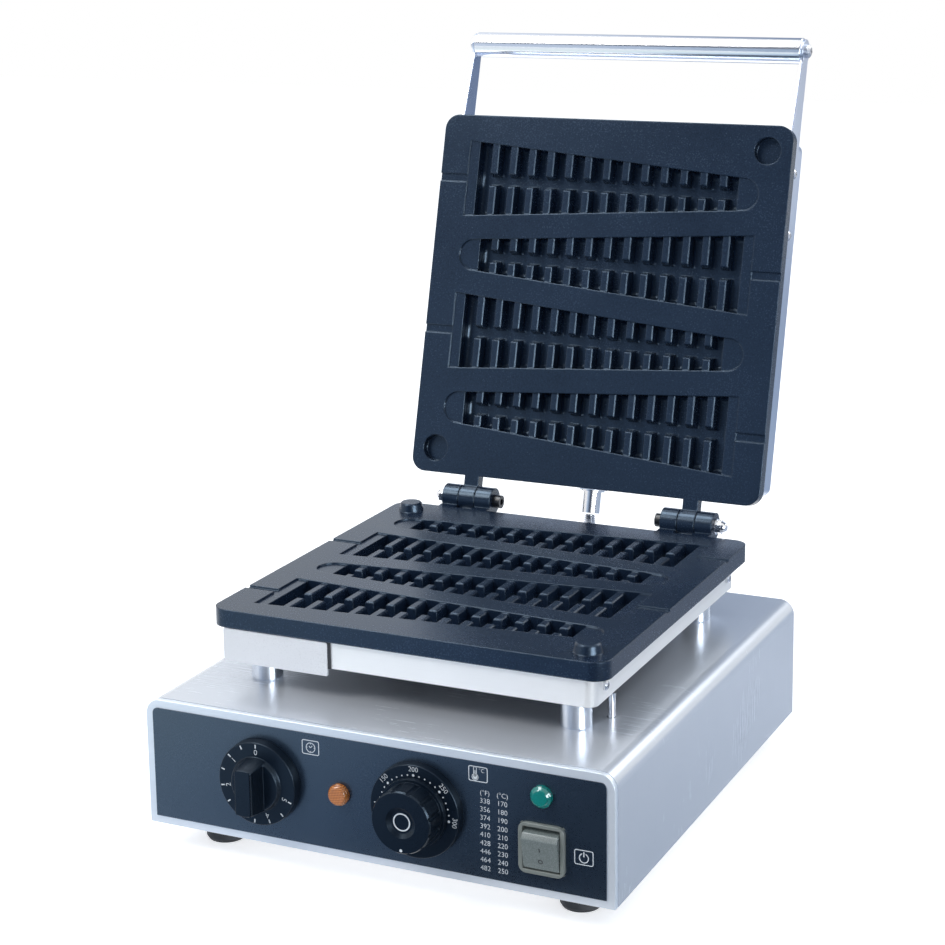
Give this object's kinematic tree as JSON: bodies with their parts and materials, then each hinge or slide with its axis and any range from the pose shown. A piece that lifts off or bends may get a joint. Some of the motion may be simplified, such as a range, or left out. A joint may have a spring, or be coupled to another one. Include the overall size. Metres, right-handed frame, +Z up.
{
  "type": "waffle baker",
  "caption": "Electric stick-waffle baker with long ribbed moulds, a hinged lid with a bar handle, and a cabinet with timer, thermostat, lamps and switch.",
  "frame": {"origin": "on the table under the middle of the whole, lid open", "axes": "+X to the right seen from the front, +Y to the back, +Z up; lid at rest open against its stop"},
  "size_m": [0.28, 0.4214, 0.4296],
  "materials": {
    "brushed_steel": "brushed",
    "panel_steel": "fine satin",
    "bottom_steel": "plain",
    "overlay_print": "satin printed film",
    "tray_steel": "brushed",
    "arm_steel": "satin",
    "polished_steel": "polished",
    "screw_steel": "bright",
    "black_bolt": "black oxide",
    "nonstick_plate": "black non-stick coat, satin with a fine grain",
    "knob_plastic": "satin black",
    "gland_plastic": "black",
    "body_plastic": "plain",
    "amber_lens": "cross-hatched lens",
    "green_lens": "clear green",
    "switch_plastic": "satin",
    "rocker_plastic": "satin",
    "black_rubber": "matte",
    "heater_sheath": "dull",
    "insulation_mat": "fibrous",
    "hose_steel": "corrugated"
  },
  "bodies": {
    "base": {"base_shell": "brushed_steel", "front_panel": "panel_steel", "control_overlay": "overlay_print", "rear_panel": "brushed_steel", "bottom_plate": "bottom_steel", "cord_gland": "gland_plastic", "foot": "black_rubber", "foot_screw": "screw_steel", "panel_screw": "screw_steel", "timer_body": "body_plastic", "thermostat_body": "body_plastic", "thermostat_dial": "knob_plastic", "orange_lamp_body": "body_plastic", "orange_lens": "amber_lens", "green_lamp_body": "body_plastic", "green_lens": "green_lens", "switch_housing": "switch_plastic", "post": "polished_steel", "post_screw": "screw_steel", "lower_tray": "tray_steel", "tray_screw": "screw_steel", "lower_heater": "heater_sheath", "lower_insulation": "insulation_mat", "lower_plate": "nonstick_plate", "sensor_tube": "polished_steel", "sensor_grommet": "black_rubber", "hinge_bolt": "black_bolt", "hinge_washer": "polished_steel", "hinge_nut": "polished_steel", "conduit_base_fitting": "polished_steel", "conduit_hose": "hose_steel"},
    "lid": {"upper_plate": "nonstick_plate", "upper_heater": "heater_sheath", "upper_insulation": "insulation_mat", "upper_cover": "tray_steel", "cover_screw": "screw_steel", "arm_left": "arm_steel", "arm_right": "arm_steel", "arm_screw": "screw_steel", "handle_tube": "polished_steel", "handle_screw": "screw_steel", "conduit_lid_fitting": "polished_steel"},
    "timer_dial": {"timer_knob": "knob_plastic"},
    "heat_dial": {"thermostat_knob": "knob_plastic"},
    "rocker": {"switch_rocker": "rocker_plastic"}
  },
  "joints": [
    {"name": "lid_hinge", "type": "hinge", "parent": "base", "child": "lid", "pos_m": [0, 0.10018, 0.1347], "axis": [1, 0, 0], "range_deg": [0, 105.4], "deforming": ["conduit_hose"]},
    {"name": "timer_turn", "type": "hinge", "parent": "base", "child": "timer_dial", "pos_m": [-0.066, -0.19772, 0.05251], "axis": [0, 1, 0], "range_deg": [0, 250]},
    {"name": "thermostat_turn", "type": "hinge", "parent": "base", "child": "heat_dial", "pos_m": [0.02901, -0.19772, 0.05251], "axis": [0, 1, 0], "range_deg": [0, 280]},
    {"name": "power_rocker", "type": "hinge", "parent": "base", "child": "rocker", "pos_m": [0.10021, -0.18632, 0.04251], "axis": [-1, 0, 0], "range_deg": [0, 24]}
  ]
}
